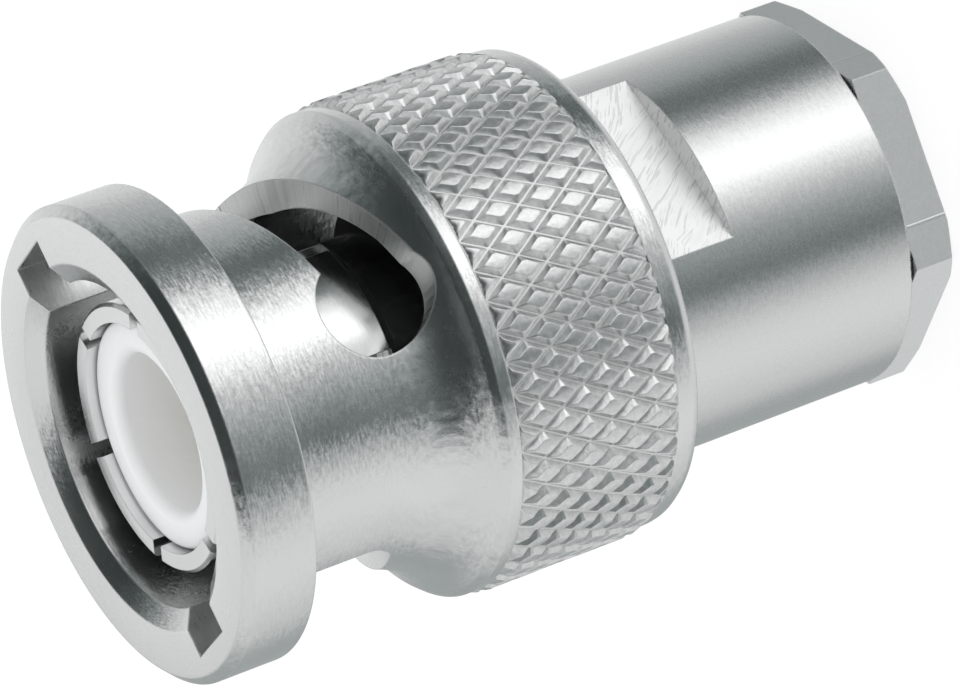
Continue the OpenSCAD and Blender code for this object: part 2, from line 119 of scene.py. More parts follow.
class PlugNutSizes(bpy.types.PropertyGroup):
    """Outline of the coupling nut. Depths are measured from the mating face."""

    bore: size("Bore radius", "Bore that slides over the mating barrel", 4.9)
    lead_in: size("Lead-in", "Width of the chamfer at the mouth of the bore", 0.6)
    lead_in_slope: angle("Lead-in slope", "Slope of that chamfer from the mating face", 31)
    flange: size("Flange radius", "Radius of the front flange", 7.18)
    flange_depth: size("Flange thickness", "Thickness of the front flange", 2.26)
    flange_edge: size("Flange chamfer", "Chamfer around the flange's front edge", 0.28)
    barrel: size("Barrel radius", "Radius of the slim barrel behind the flange", 5.72)
    flare: size("Flare radius", "Radius of the hollow flare up to the shoulder", 3.2)
    shoulder: size("Shoulder radius", "Radius of the shoulder edge", 7.2)
    shoulder_depth: size("Shoulder depth", "Depth of the shoulder edge", 8.3)
    band: size("Band radius", "Radius of the plain band in front of the knurl", 7.38)
    band_edge: size("Band chamfer", "Depth of the chamfer between shoulder and band", 0.22)
    rim: size("Rim radius", "Radius of the plain rim behind the knurl", 7.35)
    rim_round: size("Rim rounding", "Rounding of the rim's rear edge", 0.42)
    mouth_edge: size("Mouth chamfer", "Chamfer at the rear mouth", 0.2)
    cavity: size("Cavity radius", "Radius of the cavity behind the rising slots", 5.65)
    bore_end: size("Bore depth", "Depth where the mating bore ends", 6.6)
    cavity_slope: size("Cavity slope", "Length of the cone from the bore to the cavity", 1.0)
    spring_cavity: size("Spring cavity radius", "Radius of the cavity for the washers", 6.05)
    spring_depth: size("Spring cavity depth", "Depth where that cavity begins", 10.76)
    groove: size("Groove radius", "Radius of the retaining ring's groove", 6.43)
    groove_front: size("Groove front", "Depth of the groove's front side", 13.58)
    groove_rear: size("Groove rear", "Depth of the groove's rear side", 14.22)
    edge: size("Edge rounding", "Rounding of the turned edges", 0.05)


class PlugSlotSizes(bpy.types.PropertyGroup):
    """The two bayonet tracks of the coupling nut."""

    entry_width: size("Entry width", "Width of the straight entry slots", 2.2)
    entry_reach: size("Entry radius", "Radius of the entry slots' floors", 6.25)
    ramp_width: size("Slot width", "Width of the rising slots along the axis", 2.24)
    ramp_start: size("Slot start", "Depth of the rising slots where they leave the entries", 4.97)
    ramp_rise: size("Slot rise", "Distance that they rise over the whole turn", 1.9)
    ramp_turn: angle("Slot turn", "Turn from the entry to the locking seat", 89)
    seat_width: size("Seat diameter", "Diameter of the round locking seats", 3.2)
    seat_depth: size("Seat depth", "Depth of the seats' centres", 6.42)


class PlugKnurlSizes(bpy.types.PropertyGroup):
    """The diamond knurl around the coupling nut."""

    points: count("Points", "Diamonds around the nut", 50, 8)
    rows: count("Rows", "Rows at half a diamond apart", 7, 2)
    pitch: size("Row pitch", "Distance between rows along the axis", 0.75)
    front: size("Front depth", "Depth of the knurl's front end", 8.9)
    tip: size("Tip radius", "Radius over the diamonds", 7.49)
    height: size("Height", "Height of the diamonds over the grooves", 0.2)
    top: share("Flat top", "Width of a diamond's top as a share of its cell", 0.58)
    foot: share("Foot", "Width of a diamond's foot as a share of its cell", 0.93)
    corner: share("Corner", "Cut of a diamond's corners as a share of its top", 0.16)
    end_slope: share("End slope", "Rise of the knurl's ends for each unit of length", 1.1, 4.0)
    unevenness: share("Unevenness", "Difference in size from one diamond to the next", 0.0012)
    seed: count("Seed", "Start of the random sizes", 7, 0)


class PlugBodySizes(bpy.types.PropertyGroup):
    """Where the milled faces lie on the body and the clamp nut."""

    barrel: size("Barrel radius", "Radius of the body's barrel", 5.75)
    flat_reach: size("Flat reach", "Distance of the wrench flats from the axis", 4.88)
    flat_end: size("Flat end", "Depth of the wall where the wrench flats end", 17.76)
    flat_facing: angle("Flat facing", "Direction that a wrench flat faces, from +X", 105)
    flat_lean: share("Flat lean", "Lean of the cutter marks on the wrench flats", 0.15)
    hex_corner: angle("Hexagon corner", "Direction of a corner of the clamp nut, from +X", 44.5)
    hex_line: angle("Hexagon line", "Turn from a corner to the faint ridge beside it", 12)
    hex_lean: share("Hexagon lean", "Lean of the flat that was cut a little askew", 0.35)


class PlugFinish(bpy.types.PropertyGroup):
    """Colours and gloss of the finishes."""

    nickel: colour("Nickel", "Bright nickel plate", (0.80, 0.805, 0.80))
    dull_nickel: colour("Dull nickel", "Plate over milled faces", (0.8, 0.81, 0.808))
    brass: colour("Brass", "Turned brass", (0.72, 0.6, 0.32))
    bronze: colour("Bronze", "Spring bronze", (0.72, 0.66, 0.55))
    gold: colour("Gold", "Gold flash on the pin", (0.9, 0.69, 0.3))
    insulator: colour("Insulator", "Waxy white insulator", (0.958, 0.966, 0.974))
    gasket: colour("Front gasket", "Moulded front gasket", (0.05, 0.05, 0.05))
    rubber: colour("Cable gasket", "Moulded black rubber", (0.05, 0.05, 0.05))
    # painted highlight: the groove bottoms are made paler than the plate so that they show as bright lines
    groove: colour("Knurl grooves", "Burnished bottoms of the knurl's grooves", (0.97, 0.97, 0.965))
    # pale edge colour: partly rubbed plate, partly a painted edge highlight
    worn_highlight: colour("Worn edges", "Plate rubbed bright along the edges", (0.93, 0.93, 0.925))
    turned_roughness: share("Turned roughness", "Roughness of the turned faces", 0.24)
    body_roughness: share("Body roughness", "Roughness of the body's barrel", 0.27)
    milled_roughness: share("Milled roughness", "Roughness of the milled faces", 0.42)


class PlugStage(bpy.types.PropertyGroup):
    """Camera, floor and studio light."""

    azimuth: angle("Azimuth", "Direction of the camera around the axis, from +X", 76.5)
    elevation: angle("Elevation", "Height of the camera over the floor", 25.46)
    roll: angle("Roll", "Turn of the camera about its own axis", -110.12)
    aim: bpy.props.FloatVectorProperty(
        name="Aim",
        description="Point that the camera looks at",
        default=(1.78 * MM, 4.27 * MM, 15.39 * MM),
        size=3,
        unit="LENGTH",
        subtype="TRANSLATION",
    )
    distance: size("Distance", "Distance of the camera from that point", 198.44)
    lens: bpy.props.FloatProperty(
        name="Lens",
        description="Focal length in millimetres",
        default=262.5,
        min=1.0,
        subtype="DISTANCE_CAMERA",
    )
    floor: size("Floor", "Half the width of the floor", 1500.0)
    fill: share("Fill", "Brightness of the surround for matt faces", 0.95)
    overhead: share("Overhead light", "Brightness of the panel overhead at the back", 0.8)
    overhead_turn: angle("Overhead light direction", "Direction of that panel, from +X", -55)
    flag: share("Overhead flag", "Brightness of the dark flag overhead at the front", 0.045)
    below: share("Light from below", "Brightness of the surround seen straight down", 0.75)


GROUPS = {
    "plug_nut": PlugNutSizes,
    "plug_slots": PlugSlotSizes,
    "plug_knurl": PlugKnurlSizes,
    "plug_body": PlugBodySizes,
    "plug_finish": PlugFinish,
    "plug_stage": PlugStage,
}


# ---------------------------------------------------------------- shader maths


class Out:
    """A node's output that can be used in arithmetic."""

    def __init__(self, nodes, socket):
        self.nodes, self.socket = nodes, socket

    def _with(self, operation, other, swap=False):
        first, second = (other, self) if swap else (self, other)
        if self.socket.type == "VECTOR" or (isinstance(other, Out) and other.socket.type == "VECTOR"):
            first, second = (v if isinstance(v, Out) else (v, v, v) for v in (first, second))
            return self.nodes.make("ShaderNodeVectorMath", {"operation": operation}, {0: first, 1: second})
        return self.nodes.maths(operation, first, second)

    def __add__(self, other):
        return self._with("ADD", other)

    def __radd__(self, other):
        return self._with("ADD", other, swap=True)

    def __sub__(self, other):
        return self._with("SUBTRACT", other)

    def __rsub__(self, other):
        return self._with("SUBTRACT", other, swap=True)

    def __mul__(self, other):
        return self._with("MULTIPLY", other)

    def __rmul__(self, other):
        return self._with("MULTIPLY", other, swap=True)

    def __truediv__(self, other):
        return self._with("DIVIDE", other)

    def __rtruediv__(self, other):
        return self._with("DIVIDE", other, swap=True)

    def __pow__(self, other):
        return self._with("POWER", other)

    def size(self):
        """The absolute value of a number."""
        return self.nodes.maths("ABSOLUTE", self)

    def rise(self, low, high):
        """0 below low and 1 above high, smooth between them. High may be the smaller."""
        return self.nodes.make(
            "ShaderNodeMapRange",
            {"interpolation_type": "SMOOTHSTEP"},
            {"Value": self, "From Min": low, "From Max": high},
        )

    def dot(self, other):
        """The dot product of two vectors."""
        return self.nodes.make(
            "ShaderNodeVectorMath", {"operation": "DOT_PRODUCT"}, {0: self, 1: other}, output="Value"
        )

    def parts(self):
        """The three numbers of a vector."""
        split = self.nodes.add("ShaderNodeSeparateXYZ", {}, {0: self})
        return [Out(self.nodes, s) for s in split.outputs]


class Nodes:
    """A node tree being built."""

    def __init__(self, tree):
        self.tree = tree
        tree.nodes.clear()

    def add(self, kind, settings, values):
        """Adds a node: its settings first, then the values or links of its sockets."""
        node = self.tree.nodes.new(kind)
        for name, value in settings.items():
            if name == "stops":
                ramp = node.color_ramp
                while len(ramp.elements) < len(value):
                    ramp.elements.new(1.0)
                for element, (place, level) in zip(ramp.elements, value):
                    element.position = place
                    element.color = (level, level, level, 1.0)
            elif name == "ramp":
                node.color_ramp.interpolation = value
            else:
                setattr(node, name, value)
        for key, value in values.items():
            if isinstance(value, Out):
                self.tree.links.new(value.socket, node.inputs[key])
            else:
                node.inputs[key].default_value = value
        return node

    def make(self, kind, settings, values, output=0):
        """Adds a node and gives one of its outputs."""
        return Out(self, self.add(kind, settings, values).outputs[output])

    def maths(self, operation, first, second=0.0):
        return self.make("ShaderNodeMath", {"operation": operation}, {0: first, 1: second})

    def vector(self, x, y, z):
        return self.make("ShaderNodeCombineXYZ", {}, {0: x, 1: y, 2: z})

    def mix(self, factor, first, second):
        """Two numbers mixed by a factor."""
        return self.make("ShaderNodeMix", {"data_type": "FLOAT"}, {0: factor, 2: first, 3: second}, output=0)

    def tint(self, factor, first, second):
        """Two colours mixed by a factor."""
        values = {0: factor}
        for key, value in ((6, first), (7, second)):
            values[key] = value if isinstance(value, Out) else (*value[:3], 1.0)
        return self.make("ShaderNodeMix", {"data_type": "RGBA"}, values, output=2)

    def noise(self, place, scale, detail=2.0, roughness=0.5, distortion=0.0):
        return self.make(
            "ShaderNodeTexNoise",
            {"noise_dimensions": "3D"},
            {
                "Vector": place,
                "Scale": scale,
                "Detail": detail,
                "Roughness": roughness,
                "Distortion": distortion,
            },
        )


class Finish(Nodes):
    """A material being built on one Principled shader. Places are in millimetres."""

    def __init__(self, name, **constants):
        material = bpy.data.materials.new(name)
        material.use_nodes = True
        super().__init__(material.node_tree)
        self.material = material
        self.shader = self.add("ShaderNodeBsdfPrincipled", {}, constants)
        output = self.tree.nodes.new("ShaderNodeOutputMaterial")
        self.tree.links.new(self.shader.outputs[0], output.inputs["Surface"])
        self.place = self.make("ShaderNodeTexCoord", {}, {}, output="Object") * (1 / MM)
        self.x, self.y, self.z = self.place.parts()
        self.radius = (self.x**2.0 + self.y**2.0) ** 0.5
        self.depth = FACE / MM - self.z

    def around(self, per_turn, per_mm_along, per_mm_out=0.0):
        """A place for patterns that run around the axis, without a seam.

        The numbers say how often they vary: per radian, per millimetre along the axis, and per millimetre of
        radius.
        """
        out = self.radius * per_mm_out
        return self.vector(
            self.x / self.radius * per_turn, self.y / self.radius * per_turn, self.z * per_mm_along + out
        )

    def edges(self, width, samples=6):
        """The normal with its edges rounded over some millimetres, and how close to an edge a point is."""
        soft = self.make("ShaderNodeBevel", {"samples": samples}, {"Radius": width * MM}, output="Normal")
        plain = self.make("ShaderNodeNewGeometry", {}, {}, output="Normal")
        return soft, (1.0 - soft.dot(plain)).rise(0.003, 0.06)

    def lean(self, amount):
        """What to add to a normal to turn it around the axis by an amount."""
        return self.make(
            "ShaderNodeVectorTransform",
            {"vector_type": "VECTOR", "convert_from": "OBJECT", "convert_to": "WORLD"},
            {0: self.vector(0.0 - self.y / self.radius, self.x / self.radius, 0.0) * amount},
        )

    def ragged(self, amount, always=0.0, per_turn=24.0, per_mm=16.0):
        """A lean that differs from one turning line to the next, over a lean that they share."""
        lines = self.noise(self.around(per_turn, per_mm, 25.0), 1.0, 3.0, 0.6) - 0.5
        return self.lean(lines * amount + always)

    def bump(self, height, microns, normal=None):
        """The normal bent by a height from 0 to 1 over that many microns."""
        values = {"Height": height, "Distance": microns * MM * MM, "Strength": 1.0}
        if normal is not None:
            values["Normal"] = normal
        return self.make("ShaderNodeBump", {}, values)

    def shaded(self, pattern, low, high, tone, dark):
        """A tone, darkened to a share of itself where a pattern is low."""
        return self.tint(pattern.rise(low, high), [c * dark for c in tone], tone)

    def feed(self, **sockets):
        """Links what varies over the surface to the shader."""
        for name, value in sockets.items():
            self.tree.links.new(value.socket, self.shader.inputs[name.replace("_", " ")])
        return self.material


# ---------------------------------------------------------------- finishes


def worn_highlight_colour():
    """The pale colour along the edges: partly plate rubbed bright, partly a painted edge highlight."""
    return bpy.context.scene.plug_finish.worn_highlight


def turned_plate(name, tone, roughness, grain=4.0, streaks=1.4, edge=0.05, marks=1.0, ragged=0.3):
    """Bright plate over turned metal, with fine grain, short turning streaks, and edges paled partly as rubbed
    wear and partly as a painted highlight.

    Grain, streaks and marks are in microns, the edge in millimetres, and ragged is a lean of the normal.
    """
    f = Finish(name, Metallic=1.0, Roughness=roughness)
    soft, worn_highlight = f.edges(edge)
    speckle = f.noise(f.place, 9.0, 3.0, 0.6)
    short = f.noise(f.around(9.0, 15.0, 25.0), 1.0, 2.0, 0.55)
    long = f.noise(f.around(2.6, 9.0, 15.0), 1.0, 1.0)
    cloud = f.noise(f.place, 0.55, 2.0)
    normal = f.bump(short, streaks, f.bump(speckle, grain, f.bump(long, marks, soft))) + f.ragged(ragged, 0.03)
    pits = speckle.rise(0.66, 0.76)
    shade = f.shaded(cloud, 0.3, 0.7, tone, 0.97)
    shade = f.tint(pits * 0.18, shade, (0.5, 0.51, 0.505))
    # edges paled towards the edge colour: partly rubbed wear, partly painted highlight
    shade = f.tint(worn_highlight * 0.5, shade, worn_highlight_colour())
    rough = f.mix(cloud.rise(0.25, 0.75), roughness * 0.9, roughness * 1.12)
    rough = rough + (speckle - 0.5) * 0.12 + worn_highlight * 0.3
    return f.feed(Base_Color=shade, Roughness=rough, Normal=normal)


def slot_cut(name, tone, roughness):
    """Milled slot walls, with fine marks across the wall."""
    f = Finish(name, Metallic=1.0, Roughness=roughness)
    soft, worn_highlight = f.edges(0.05)
    lines = f.noise(f.around(60.0, 9.0), 1.0, 2.0, 0.6)
    chatter = f.noise(f.around(16.0, 3.0), 1.0, 1.0)
    normal = f.bump(lines, 3.2, f.bump(chatter, 5.0, soft))
    shade = f.shaded(lines, 0.35, 0.7, tone, 0.9)
    # slot edges paled nearly white: partly rubbed wear, partly painted highlight
    shade = f.tint(worn_highlight * 0.8, shade, (0.95, 0.95, 0.945))
    rough = roughness + (lines - 0.5) * 0.2 + worn_highlight * 0.25
    return f.feed(Base_Color=shade, Roughness=rough, Normal=normal)


def knurled_plate(name, tone, roughness):
    """Rolled diamonds: mottled tops and clean flanks."""
    f = Finish(name, Metallic=1.0, Roughness=roughness)
    soft, worn_highlight = f.edges(0.035)
    mottle = f.noise(f.place, 5.5, 3.0, 0.6)
    fine = f.noise(f.place, 14.0, 2.0, 0.6)
    normal = f.bump(fine, 2.2, f.bump(mottle, 11.0, soft))
    shade = f.tint(mottle.rise(0.35, 0.7), [c * 0.9 for c in tone], [c * 1.08 for c in tone])
    # edges paled towards the edge colour: partly rubbed wear, partly painted highlight
    shade = f.tint(worn_highlight * 0.35, shade, worn_highlight_colour())
    return f.feed(Base_Color=shade, Roughness=roughness + (mottle - 0.5) * 0.2, Normal=normal)


def rolled_groove(name, tone):
    """The bottoms of the rolled grooves: rough, so that they catch light from every side, and paler than the
    plate as a painted highlight.
    """
    roughness = 0.55
    f = Finish(name, Metallic=1.0, Roughness=roughness)
    soft, _ = f.edges(0.04)
    fine = f.noise(f.place, 12.0, 2.0)
    # the pale tone is a painted highlight along the groove bottoms
    shade = f.shaded(fine, 0.3, 0.7, tone, 0.94)
    return f.feed(Base_Color=shade, Roughness=roughness + (fine - 0.5) * 0.2, Normal=f.bump(fine, 1.5, soft))


def body_plate(name, tone, finish, body):
    """The body: a softly grained barrel, and wrench flats with overlapping cutter sweeps."""
    f = Finish(name, Metallic=1.0, Roughness=finish.body_roughness)
    soft, worn_highlight = f.edges(0.05)
    facing, barrel, wall = body.flat_facing, body.barrel / MM, body.flat_end / MM
    across = f.x * math.cos(facing) + f.y * math.sin(facing)
    along = f.y * math.cos(facing) - f.x * math.sin(facing)
    # the milled faces: the flats, up to the wall that ends them, and that wall inside the barrel's radius
    milled_face = (across.size() - body.flat_reach / MM).size().rise(0.02, 0.006)
    end_wall = (f.depth - wall).size().rise(0.03, 0.015) * f.radius.rise(barrel - 0.01, barrel - 0.03)
    flat = f.maths("MAXIMUM", milled_face * (wall + 0.04 - f.depth).rise(0.0, 0.02), end_wall)
    # cutter sweeps: arcs about two centres well off the flat, as place, height and rings per millimetre
    sweeps = []
    for place, height, pitch in ((-6.5, 3.4, 8.0), (5.2, 12.5, 7.0)):
        u, v = along - place, f.z - height
        ring = (u**2.0 + v**2.0) ** 0.5
        arc = f.maths("ARCTAN2", v, u) * 3.2
        sweeps.append(f.noise(f.vector(ring * pitch, arc, across), 1.6, 3.0, 0.65))
    patch = f.noise(f.vector(along * 0.7, f.z * 0.7, across), 1.0, 1.0).rise(0.42, 0.58)
    cut = f.mix(patch, sweeps[0], sweeps[1])
    grain = f.noise(f.place, 8.0, 3.0, 0.62)
    short = f.noise(f.around(8.0, 11.0, 18.0), 1.0, 2.0, 0.5)
    plain = f.bump(short, 0.6, f.bump(grain, 2.0, soft)) + f.ragged(0.1)
    milled = f.bump(cut, 12.0, soft) + f.lean(-body.flat_lean)
    normal = f.make("ShaderNodeMix", {"data_type": "VECTOR"}, {0: flat, 4: plain, 5: milled}, output=1)
    strokes = f.tint(cut.rise(0.38, 0.5), (0.72, 0.73, 0.725), (0.99, 0.99, 0.985))
    shade = f.tint(flat, f.shaded(grain, 0.3, 0.75, tone, 0.96), strokes)
    # edges paled towards the edge colour: partly rubbed wear, partly painted highlight
    shade = f.tint(worn_highlight * 0.5, shade, worn_highlight_colour())
    rough = f.mix(flat, finish.body_roughness + (grain - 0.5) * 0.1, 0.5 + (cut - 0.5) * 0.3)
    return f.feed(Base_Color=shade, Roughness=rough + worn_highlight * 0.25, Normal=normal)


def hex_plate(name, tone, roughness, body):
    """Dull milled hexagon, with a faint ridge on each flat beside its corner, painted paler as a highlight, and
    one flat a little askew.
    """
    f = Finish(name, Metallic=1.0, Roughness=roughness)
    soft, worn_highlight = f.edges(0.06)
    turn = f.maths("ARCTAN2", f.y, f.x) - (body.hex_corner + body.hex_line)
    half_side = math.radians(30)
    sixth = f.make("ShaderNodeMath", {"operation": "WRAP"}, {0: turn, 1: half_side, 2: -half_side})
    ridge = (sixth * f.radius).size().rise(0.05, 0.015)
    fine = f.noise(f.place, 9.0, 3.0, 0.6)
    strokes = f.noise(f.around(22.0, 2.5), 1.0, 2.0, 0.6)
    askew = body.hex_corner - half_side
    facing = (f.x * math.cos(askew) + f.y * math.sin(askew)) / f.radius
    normal = f.bump(strokes, 1.6, f.bump(fine, 1.6, f.bump(ridge, 8.0, soft)))
    normal = normal + f.lean(facing.rise(0.864, 0.868) * body.hex_lean)
    # ridge line paled as a painted highlight; edges paled partly as rubbed wear, partly as painted highlight
    shade = f.tint(ridge * 0.25 + worn_highlight * 0.8, f.shaded(fine, 0.3, 0.75, tone, 0.94), worn_highlight_colour())
    rough = roughness + (fine - 0.5) * 0.12 + worn_highlight * 0.15
    return f.feed(Base_Color=shade, Roughness=rough, Normal=normal)


def waxy_white(name, tone):
    """Machined fluoropolymer: waxy white with faint turning rings."""
    roughness = 0.42
    depth = {"Subsurface Weight": 0.12, "Subsurface Radius": (0.001, 0.001, 0.001), "Subsurface Scale": 0.4}
    f = Finish(name, Roughness=roughness, **depth)
    soft, _ = f.edges(0.06)
    rings = f.noise(f.around(0.8, 6.0, 6.0), 1.0, 2.0, 0.5)
    cloud = f.noise(f.place, 1.2, 2.0)
    shade = f.shaded(cloud, 0.3, 0.7, tone, 0.985)
    return f.feed(Base_Color=shade, Roughness=roughness + (cloud - 0.5) * 0.1, Normal=f.bump(rings, 2.5, soft))


def moulded_rubber(name, tone):
    """Matt moulded rubber with a fine skin."""
    roughness = 0.62
    f = Finish(name, Roughness=roughness)
    soft, _ = f.edges(0.06)
    skin = f.noise(f.place, 7.0, 3.0, 0.65)
    shade = f.shaded(skin, 0.35, 0.7, tone, 0.8)
    return f.feed(Base_Color=shade, Roughness=roughness + (skin - 0.5) * 0.25, Normal=f.bump(skin, 5.0, soft))


def dress(finishes):
    """Gives pieces of the frame their materials, by the names of the pieces."""
    for node, material in finishes.items():
        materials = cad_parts[node].data.materials
        materials.clear()
        materials.append(material)


# ---------------------------------------------------------------- shapes


def up(depth):
    """Height above the floor of a point at a depth behind the mating face."""
    return FACE - depth


def soften(corners, steps=4):
    """Outline points from corners given as (radius, depth, rounding)."""
    points = []
    for i, (radius, depth, rounding) in enumerate(corners):
        here = Vector((radius, depth))
        back = Vector(corners[i - 1][:2]) - here
        ahead = Vector(corners[(i + 1) % len(corners)][:2]) - here
        if not rounding:
            points.append(here)
            continue
        half = back.angle(ahead) / 2
        reach = min(rounding / math.tan(half), 0.45 * back.length, 0.45 * ahead.length)
        start, end = here + back.normalized() * reach, here + ahead.normalized() * reach
        centre = here + (back.normalized() + ahead.normalized()).normalized() * (reach / math.cos(half))
        for k in range(steps + 1):
            spoke = (start - centre).lerp(end - centre, k / steps).normalized()
            points.append(centre + spoke * (start - centre).length)
    return points


def ring_mesh(outline, segments):
    """A closed outline of (radius, height) points turned around the axis."""
    bm = bmesh.new()
    turns = [(math.cos(math.tau * k / segments), math.sin(math.tau * k / segments)) for k in range(segments)]
    rings = [[bm.verts.new((r * c, r * s, z)) for r, z in outline] for c, s in turns]
    for k, ring in enumerate(rings):
        beside = rings[(k + 1) % segments]
        for i in range(len(outline)):
            j = (i + 1) % len(outline)
            bm.faces.new((ring[i], ring[j], beside[j], beside[i]))
    return bm


def finished(bm, name, smooth_below=SMOOTH):
    """An object from a closed mesh, its faces pointing outwards and smooth below an angle."""
    bmesh.ops.recalc_face_normals(bm, faces=bm.faces)
    if bm.calc_volume(signed=True) < 0:
        bmesh.ops.reverse_faces(bm, faces=bm.faces)
    mesh = bpy.data.meshes.new(name)
    bm.to_mesh(mesh)
    bm.free()
    mesh.shade_smooth()
    mesh.set_sharp_from_angle(angle=smooth_below)
    obj = bpy.data.objects.new(name, mesh)
    bpy.context.scene.collection.objects.link(obj)
    return obj


def settled(obj):
    """The object with its modifiers turned into plain mesh."""
    graph = bpy.context.evaluated_depsgraph_get()
    mesh = bpy.data.meshes.new_from_object(
        obj.evaluated_get(graph), preserve_all_data_layers=True, depsgraph=graph
    )
    obj.modifiers.clear()
    old = obj.data
    obj.data = mesh
    mesh.name = obj.name
    bpy.data.meshes.remove(old)
    return obj


def shallow_hole(radius, depth, turn, inner, outer, sides=96):
    """A round cutter that points out from the axis."""
    bm = bmesh.new()
    bmesh.ops.create_cone(
        bm, cap_ends=True, segments=sides, radius1=radius, radius2=radius, depth=outer - inner, calc_uvs=False
    )
    place = Matrix.Translation(((inner + outer) / 2, 0, up(depth))) @ Matrix.Rotation(math.pi / 2, 4, "Y")
    bm.transform(Matrix.Rotation(turn, 4, "Z") @ place)
    return bm


def track_cutters(slots, inner, outer, turn):
    """Cutters for one bayonet track: entry, its round end, rising slot and round seat."""
    entry = bmesh.new()
    bmesh.ops.create_cube(entry, size=1.0)
    low, high = up(slots.ramp_start), FACE + 0.5 * MM
    entry.transform(
        Matrix.Rotation(turn, 4, "Z")
        @ Matrix.Translation(((inner + slots.entry_reach) / 2, 0, (low + high) / 2))
        @ Matrix.Diagonal((slots.entry_reach - inner, slots.entry_width, high - low, 1))
    )
    ramp = bmesh.new()
    steps = 64
    half = slots.ramp_width / 2
    rings = []
    for k in range(steps + 1):
        a = turn - slots.ramp_turn * k / steps
        z = up(slots.ramp_start + slots.ramp_rise * k / steps)
        corners = ((inner, -half), (outer, -half), (outer, half), (inner, half))
        rings.append([ramp.verts.new((r * math.cos(a), r * math.sin(a), z + h)) for r, h in corners])
    for first, second in zip(rings, rings[1:]):
        for k in range(4):
            ramp.faces.new((first[k], first[(k + 1) % 4], second[(k + 1) % 4], second[k]))
    ramp.faces.new(rings[0])
    ramp.faces.new(reversed(rings[-1]))
    return [
        entry,
        shallow_hole(slots.entry_width / 2, slots.ramp_start, turn, inner, outer),
        ramp,
        shallow_hole(slots.seat_width / 2, slots.seat_depth, turn - slots.ramp_turn, inner, outer),
    ]


# ---------------------------------------------------------------- operators


class PlugMaker:
    """What the operators share."""

    bl_options = {"REGISTER", "UNDO"}

    def execute(self, context):
        self.build(context.scene)
        return {"FINISHED"}


class PLUG_OT_coupling_nut(PlugMaker, bpy.types.Operator):
    """Turns the coupling nut and mills its two bayonet tracks"""

    bl_idname = "plug.coupling_nut"
    bl_label = "Coupling Nut"

    def outline(self, nut, knurl):
        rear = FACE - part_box("coupling_nut")[0].z
        rise = nut.shoulder - nut.barrel
        flare_start = nut.shoulder_depth - math.sqrt(nut.flare**2 - (nut.flare - rise) ** 2)
        sweep = math.asin((nut.shoulder_depth - flare_start) / nut.flare)
        steps = 18
        flare = [
            (
                nut.barrel + nut.flare * (1 - math.cos(sweep * k / steps)),
                flare_start + nut.flare * math.sin(sweep * k / steps),
                0,
            )
            for k in range(steps)
        ]
        core = knurl.tip - knurl.height
        knurl_rear = knurl.front + knurl.rows * knurl.pitch
        e = nut.edge
        corners = [
            (nut.bore + nut.lead_in, 0, e),
            (nut.flange - nut.flange_edge, 0, e),
            (nut.flange, nut.flange_edge, e),
            (nut.flange, nut.flange_depth, e),
            (nut.barrel, nut.flange_depth, e),
            *flare,
            (nut.shoulder, nut.shoulder_depth, e * 0.6),
            (nut.band, nut.shoulder_depth + nut.band_edge, e),
            (nut.band, knurl.front, e),
            (core, knurl.front + e, e * 0.6),
            (core, knurl_rear - e, e * 0.6),
            (nut.rim, knurl_rear, e),
            (nut.rim, rear, nut.rim_round),
            (nut.spring_cavity + nut.mouth_edge, rear, e),
            (nut.spring_cavity, rear - nut.mouth_edge, 0),
            (nut.spring_cavity, nut.groove_rear, e),
            (nut.groove, nut.groove_rear, 0),
            (nut.groove, nut.groove_front, 0),
            (nut.spring_cavity, nut.groove_front, e),
            (nut.spring_cavity, nut.spring_depth, 0),
            (nut.cavity, nut.spring_depth, e),
            (nut.cavity, nut.bore_end + nut.cavity_slope, 0),
            (nut.bore, nut.bore_end, 0),
            (nut.bore, nut.lead_in * math.tan(nut.lead_in_slope), e),
        ]
        return [(p.x, up(p.y)) for p in soften(corners)]

    def build(self, scene):
        nut, slots, knurl, finish = scene.plug_nut, scene.plug_slots, scene.plug_knurl, scene.plug_finish
        shell = finished(ring_mesh(self.outline(nut, knurl), 288), "nut_shell")
        rough = finish.turned_roughness
        for material in (
            turned_plate("turned_nickel", finish.nickel, rough, edge=0.09),
            slot_cut("slot_walls", finish.nickel, rough + 0.06),
            rolled_groove("knurl_grooves", finish.groove),
        ):
            shell.data.materials.append(material)
        cutters = []
        for turn in (0.0, math.pi):
            for bm in track_cutters(slots, nut.bore - MM, nut.shoulder + 0.6 * MM, turn):
                cutters.append(finished(bm, f"track_cutter_{len(cutters)}"))
        for cutter in cutters:
            cut = shell.modifiers.new(cutter.name, "BOOLEAN")
            cut.operation, cut.solver, cut.object = "DIFFERENCE", "MANIFOLD", cutter
        settled(shell)
        for cutter in cutters:
            bpy.data.objects.remove(cutter)
        self.mark_faces(shell.data, nut, slots, knurl)
        shell.data.shade_smooth()
        shell.data.set_sharp_from_angle(angle=SMOOTH)
        even = shell.modifiers.new("even_normals", "WEIGHTED_NORMAL")
        even.keep_sharp, even.weight = True, 100
        settled(shell)
        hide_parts("coupling_nut")
        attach(shell, "coupling")

    def mark_faces(self, mesh, nut, slots, knurl):
        """Gives the milled walls, which face across the radius, and the knurl's grooves their own finish."""
        slack, wall, groove = 0.02 * MM, 1, 2
        rear = knurl.front + knurl.rows * knurl.pitch
        for face in mesh.polygons:
            centre = Vector(face.center)
            depth, radius = FACE - centre.z, math.hypot(centre.x, centre.y)
            outwards = Vector((centre.x, centre.y, 0)).normalized()
            in_entry = slack < depth < nut.flange_depth - slack and radius < slots.entry_reach + slack
            in_track = nut.flange_depth + 0.1 * MM < depth < nut.shoulder_depth - slack
            if (in_entry or in_track) and abs(face.normal.dot(outwards)) < 0.36:
                face.material_index = wall
            elif knurl.front < depth < rear and nut.groove < radius < knurl.tip - 0.9 * knurl.height:
                face.material_index = groove


